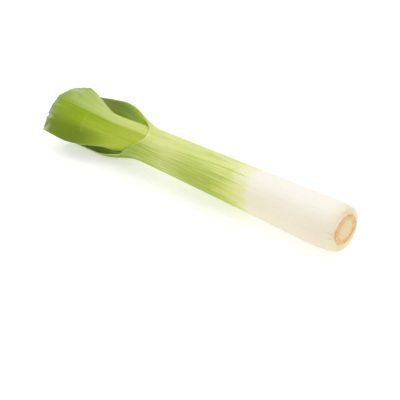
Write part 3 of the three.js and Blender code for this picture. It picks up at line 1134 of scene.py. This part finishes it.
hand_over(make_heart(), [heart_finish()], 50, "heart_leaf", "inner_leaf")

# %% [markdown]
# ## The root plate
#
# The stem at a leek's base is a flat disc, with the scars of its roots in a ring. A cone is the start,
# for the part inside the leaves. Its wide end is extruded ring by ring to the rough outer ring and the
# slightly domed middle. Fibres and scars are then raised by noise, because no operator makes them.

# %% Extrude the plate
PLATE_SIDES = 144
PLATE_RINGS = 30
RING_MIDDLE = 11.1
RING_HALF_WIDTH = 2.1
RING_HEIGHT = 0.85
MIDDLE_HEIGHT = 0.65
MIDDLE_RADIUS = 9
FACE_SUNK = 0.1
FIBRE_HEIGHT = 0.28


def plate_profile(radius):
    """How far the plate's face stands out, at a distance from its middle."""
    ring = RING_HEIGHT * np.exp(-(((radius - RING_MIDDLE) / RING_HALF_WIDTH) ** 4))
    middle = MIDDLE_HEIGHT * np.clip(1 - (radius / MIDDLE_RADIUS) ** 2, 0, 1)
    return ring + middle - FACE_SUNK


def make_root_plate():
    start_alone()
    bpy.ops.mesh.primitive_cone_add(
        vertices=PLATE_SIDES,
        radius1=PLATE_WAIST_RADIUS * MM,
        radius2=PLATE_TOP_RADIUS * MM,
        depth=(PLATE_TOP_AT - PLATE_WAIST_AT) * MM,
        rotation=(0, -math.pi / 2, 0),
        location=((ROOT_FACE_X - (PLATE_TOP_AT + PLATE_WAIST_AT) / 2) * MM, 0, 0),
    )
    plate = name_new("root_plate_fine")
    edit(plate)
    waist_x = (ROOT_FACE_X - PLATE_WAIST_AT) * MM
    select_edges(plate, lambda a, b: min(a.x, b.x) > waist_x - 0.01 * MM)
    bpy.ops.mesh.select_mode(type="FACE")
    at, width = PLATE_WAIST_AT, PLATE_WAIST_RADIUS
    for ring in range(PLATE_RINGS):
        next_width = PLATE_RADIUS * (1 - ring / PLATE_RINGS)
        next_at = 0.05 if ring == 0 else -plate_profile(next_width)
        bpy.ops.mesh.extrude_region_move(TRANSFORM_OT_translate={"value": ((at - next_at) * MM, 0, 0)})
        shrink = next_width / width
        pivot = ((ROOT_FACE_X - next_at) * MM, 0, 0)
        bpy.ops.transform.resize(value=(1, shrink, shrink), center_override=pivot)
        at, width = next_at, next_width
    bpy.ops.mesh.merge(type="CENTER")
    leave_edit()
    return plate


plate = make_root_plate()
print("root plate's faces:", len(plate.data.polygons))

# %% Fibres and scars
PITS_PER_MM = 0.55
FIBRES_PER_MM = 1.7


def roughen_plate(plate):
    """Raises fibres and scars on the plate's face, and moves the plate to the axis."""
    away = np.zeros(len(plate.data.vertices))
    scar = np.zeros(len(plate.data.vertices))
    for index, vertex in enumerate(plate.data.vertices):
        y, z = vertex.co.y / MM, vertex.co.z / MM
        along = ROOT_FACE_X - vertex.co.x / MM
        away[index] = math.hypot(y, z)
        if along < 0.5:
            pits = noise.noise(Vector((y, z, 3)) * PITS_PER_MM)
            fibres = noise.fractal(Vector((y, z, 7)) * FIBRES_PER_MM, 0.8, 2.0, 3)
            in_ring = float(smooth(away[index], 8.0, 9.8))
            relief = FIBRE_HEIGHT * (fibres * (0.15 + in_ring) + pits * (0.3 + 1.1 * in_ring))
            vertex.co.x += min(relief, 0.5) * MM
            scar[index] = 0.5 + 0.5 * pits + 0.4 * fibres
        oval = mix(PLATE_FLATTENING, 1, float(smooth(along, 0.2, PLATE_WAIST_AT)))
        vertex.co.y = (AXIS_Y + y) * MM
        vertex.co.z = (float(axis_height(along)) + z * oval) * MM
    keep_on_points(plate, "from_middle", away)
    keep_on_points(plate, "scar", scar)
    plate.data.update()
    outwards(plate)


def root_plate_finish():
    finish = Finish("root_plate_corky", {"Subsurface Weight": 0.1, "Subsurface Scale": 0.0015})
    away = finish.attribute("from_middle")
    scar = finish.attribute("scar")
    grit = finish.speckle(900, 4)
    patch = finish.speckle(210, 2)
    ring = (away + (patch - 0.5) * 4).band(7.8, 10.0)
    middle_tone = finish.blend(grit.band(0.4, 0.7), colour(236, 217, 177), colour(226, 202, 152))
    ring_tone = finish.blend(grit.band(0.35, 0.65), colour(240, 208, 156), colour(230, 188, 126))
    tone = finish.blend(ring, middle_tone, ring_tone)
    tone = finish.layers(
        tone,
        (patch.band(0.58, 0.70) * away.band(8.1, 10.1) * 0.5, 216, 158, 92),
        (scar.band(0.36, 0.16) * ring * 0.3, 206, 156, 98),
        (away.band(12.8, 13.8) * 0.6, 236, 218, 176),
    )
    return finish.shade(tone, 0.68 + grit * 0.2, grit, 0.35)


roughen_plate(plate)
hand_over(plate, [root_plate_finish()], 60, "root_plate", "root_plate")

# %% [markdown]
# ## The trimmed roots
#
# A leek's roots are cut off close to the plate. Each leaves a short stub with a paler core. One stub is
# modelled, a cylinder whose end is inset and sunk, and copied round the ring. The copies differ in
# size, height and lean by a seeded draw, so that every run gives the same ones. A few thin dry roots
# were missed and lie against the sheath's base.

# %% Stubs
draw = random.Random(11)
STUBS = 46
STUB_SIDES = 9
STUB_ROWS = (10.1, 12.0)
STUB_TAPER = 0.86


def make_stub():
    start_alone()
    bpy.ops.mesh.primitive_cylinder_add(vertices=STUB_SIDES, radius=MM, depth=MM, location=(0, 0, 0.5 * MM))
    stub = name_new("root_stub")
    edit(stub)
    select_edges(stub, lambda a, b: min(a.z, b.z) > 0.99 * MM)
    bpy.ops.mesh.select_mode(type="FACE")
    bpy.ops.transform.resize(value=(STUB_TAPER, STUB_TAPER, 1))
    bpy.ops.mesh.inset(thickness=0.3 * MM, depth=-0.12 * MM)
    bpy.ops.mesh.inset(thickness=0.25 * MM, depth=0.08 * MM)
    leave_edit()
    return stub


def copy_to(pattern, matrix):
    copied = pattern.copy()
    copied.data = pattern.data.copy()
    copied.matrix_world = matrix
    bpy.context.scene.collection.objects.link(copied)
    return copied


def joined(copies, name):
    """Joins copies into one piece, with its place in its mesh."""
    start_alone()
    for copied in copies:
        copied.select_set(True)
    bpy.context.view_layer.objects.active = copies[0]
    bpy.ops.object.join()
    return name_new(name)


def on_plate(angle, radius, along):
    return Vector(place(np.array(along), np.array(angle), np.array(radius), 0).tolist())


def stub_places():
    """Two uneven rows of stubs round the ring. Each leans outwards."""
    for number in range(STUBS):
        outer_row = number % 2
        angle = 360 * (number + draw.uniform(-0.3, 0.3)) / STUBS
        radius = STUB_ROWS[outer_row] + draw.uniform(-0.5, 0.5)
        width = draw.uniform(0.55, 1.0)
        height = draw.uniform(0.45, 0.85)
        lean = math.radians(draw.uniform(2, 16) + 14 * outer_row)
        outward = Vector((0, float(cosine(angle)), float(sine(angle))))
        direction = Vector((1, 0, 0)) * math.cos(lean) + outward * math.sin(lean)
        turned = direction.to_track_quat("Z", "Y").to_matrix().to_4x4()
        sized = Matrix.Diagonal((width, width, height, 1))
        foot = on_plate(angle, radius * float(oval_share(angle)), -0.1)
        yield Matrix.Translation(foot) @ turned @ sized


stub = make_stub()
copies = [copy_to(stub, matrix) for matrix in stub_places()]
bpy.data.objects.remove(stub)
stubs = joined(copies, "root_stubs")
print("root stubs:", len(copies))

# %% Dry roots
FIBRES = 6
FIBRE_LENGTH = 7
FIBRE_STEPS = 14
FIBRES_FROM = 156
FIBRES_APART = 5.5
CORNER_AT = 0.45


def fibre_path(share, length):
    """Where the middle of a dry root lies: outwards over the base's end, then along its side."""
    on_side = max(0.0, share - CORNER_AT) * length
    at_base = PLATE_RADIUS - 0.7
    over_end = min(share, CORNER_AT) / CORNER_AT
    along = mix(-0.7, -0.15, over_end) + on_side
    if on_side > 0:
        return along, float(shaft_radius(max(along, 0.0))) + 0.1
    return along, mix(at_base, BASE_RADIUS + 0.3, over_end)


def make_dry_root(angle, length, width, curl):
    """A thin root that comes out of the ring's edge and lies along the sheath's base."""
    start_alone()
    bpy.ops.mesh.primitive_cylinder_add(vertices=7, radius=width * MM, depth=length * MM)
    root = bpy.context.object
    edit(root)
    select_edges(root, lambda a, b: abs(a.z - b.z) > 0.5 * MM)
    bpy.ops.mesh.subdivide(number_cuts=FIBRE_STEPS)
    leave_edit()
    for vertex in root.data.vertices:
        share = max(0.0, vertex.co.z / (length * MM) + 0.5)
        slim = 1 - 0.65 * share
        aside, up = vertex.co.x * slim / MM, vertex.co.y * slim / MM
        along, base = fibre_path(share, length)
        flat = 1 - smooth(share, CORNER_AT - 0.15, CORNER_AT)
        turned = angle + curl * share**2 + math.degrees(aside / base)
        vertex.co = on_plate(turned, base + up * (1 - flat), along - up * flat)
    return root


roots = []
for number in range(FIBRES):
    roots.append(
        make_dry_root(
            angle=FIBRES_FROM + FIBRES_APART * number + draw.uniform(-2, 2),
            length=FIBRE_LENGTH * draw.uniform(0.75, 1.1),
            width=draw.uniform(0.16, 0.26),
            curl=draw.uniform(-5, 5),
        )
    )
dry_roots = joined(roots, "dry_roots")
outwards(dry_roots)


def root_finish(name, light, dark):
    finish = Finish(name, {"Subsurface Weight": 0.05, "Subsurface Scale": 0.001})
    grit = finish.speckle(1500, 3)
    patch = finish.speckle(260, 1)
    tone = finish.blend((patch + (grit - 0.5) * 0.4).band(0.38, 0.62), light, dark)
    return finish.shade(tone, 0.7 + grit * 0.15, grit, 0.15)


cut_root = root_finish("cut_root", colour(242, 214, 164), colour(228, 182, 118))
dry_root = root_finish("dry_root", colour(244, 214, 160), colour(232, 192, 132))
hand_over(stubs, [cut_root], 40, None, "root_plate")
hand_over(dry_roots, [dry_root], 60, None, "root_plate")

# %% [markdown]
# ## The table's finish
#
# A matt white sheet with the faintest mottling. It is lit from below, so it also sends out light of its
# own.

# %% Finish the table


def table_finish():
    finish = Finish("white_table", {"Emission Color": (1, 1, 1, 1), "Emission Strength": 0.5})
    mottle = finish.speckle(30, 2)
    tone = finish.blend(mottle, colour(206, 206, 206), colour(204, 204, 204))
    return finish.shade(tone, 0.55 + mottle * 0.05)


table.data.materials.append(table_finish())

# %% Measure the visual box
visual_box = [list(corner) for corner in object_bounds()]
print("visual box in mm:", [[round(value / MM, 1) for value in corner] for corner in visual_box])
